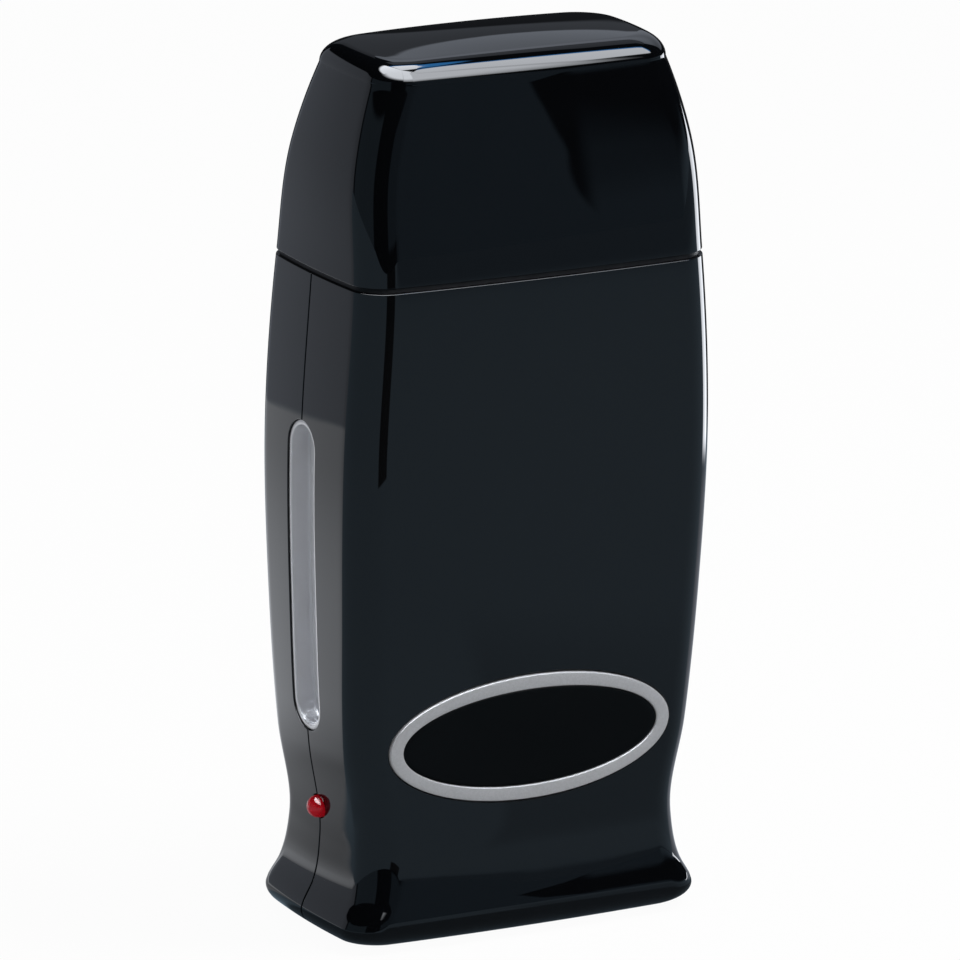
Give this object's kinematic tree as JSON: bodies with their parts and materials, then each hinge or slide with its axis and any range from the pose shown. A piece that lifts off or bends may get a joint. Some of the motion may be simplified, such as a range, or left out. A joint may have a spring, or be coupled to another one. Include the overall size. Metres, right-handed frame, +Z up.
{
  "type": "roll on wax heater",
  "caption": "Slim upright heater for a roll-on wax cartridge: glossy black case with waisted flared foot, lift-off cap, side window, red pilot lamp and bare oval badge.",
  "frame": {"origin": "on the table, under the middle of the case", "axes": "+Z up; the front with the oval badge faces -Y; the window and the pilot lamp are on the -X side; the mains inlet is at the back, +Y"},
  "size_m": [0.0975, 0.0544, 0.2112],
  "materials": {
    "case_gloss": "high-gloss moulded ABS, black",
    "collar_black": "moulded, black, satin",
    "base_black": "moulded, black, matt",
    "foot_rubber": "moulded rubber, matt",
    "screw_steel": "zinc-plated steel",
    "window_clear": "clear moulded polycarbonate",
    "lamp_red": "translucent red moulded epoxy",
    "badge_field": "gloss black enamel",
    "badge_silver": "satin silver rim",
    "well_aluminium": "drawn aluminium",
    "seal_silicone": "red silicone rubber",
    "element_ceramic": "ceramic in insulating film",
    "spring_steel": "stamped spring steel",
    "mica": "mica sheet",
    "thermostat_body": "moulded phenolic, brown",
    "fuse_body": "ceramic tube with tinned wires",
    "pin_nickel": "nickel-plated brass",
    "terminal_nylon": "moulded nylon, natural",
    "terminal_brass": "brass screws",
    "board_green": "glass-fibre board, green lacquer",
    "resistor_body": "lacquered film resistor",
    "wire_brown": "insulated lead, brown",
    "wire_blue": "insulated lead, blue",
    "wire_white": "glass-fibre sleeved lead, white",
    "wire_red": "insulated lead, red",
    "bottle_milky": "blow-moulded polypropylene, milky",
    "wax_honey": "honey wax",
    "head_white": "moulded polypropylene, white",
    "roller_white": "moulded polypropylene, white",
    "axle_steel": "drawn stainless steel"
  },
  "bodies": {
    "heater_body": {"front_shell": "case_gloss", "rear_shell": "case_gloss", "neck_collar": "collar_black", "base_plate": "base_black", "rubber_feet": "foot_rubber", "shell_screws": "screw_steel", "side_window": "window_clear", "pilot_lamp": "lamp_red", "badge_plate": "badge_field", "badge_rim": "badge_silver", "heating_well": "well_aluminium", "well_seal": "seal_silicone", "heating_element": "element_ceramic", "heater_clamp": "spring_steel", "clamp_screws": "screw_steel", "insulation_sheet": "mica", "thermostat": "thermostat_body", "thermostat_bracket": "spring_steel", "thermal_fuse": "fuse_body", "fuse_clip": "spring_steel", "mains_inlet": "base_black", "inlet_pins": "pin_nickel", "terminal_block": "terminal_nylon", "terminal_screws": "terminal_brass", "lamp_board": "board_green", "lamp_resistor": "resistor_body", "live_lead": "wire_brown", "neutral_lead": "wire_blue", "heater_lead": "wire_white", "lamp_leads": "wire_red"},
    "cartridge": {"wax_bottle": "bottle_milky", "wax_fill": "wax_honey", "roller_head": "head_white", "roller_axle": "axle_steel"},
    "roller": {"roller": "roller_white"},
    "cap": {"cap": "case_gloss"}
  },
  "joints": [
    {"name": "cartridge_lift", "type": "slide", "parent": "heater_body", "child": "cartridge", "axis": [0, 0, 1], "range_m": [0, 0.125]},
    {"name": "cap_lift", "type": "slide", "parent": "cartridge", "child": "cap", "axis": [0, 0, 1], "range_m": [0, 0.06]},
    {"name": "roller_spin", "type": "hinge", "parent": "cartridge", "child": "roller", "pos_m": [0, 0, 0.17345], "axis": [1, 0, 0], "continuous": true}
  ]
}
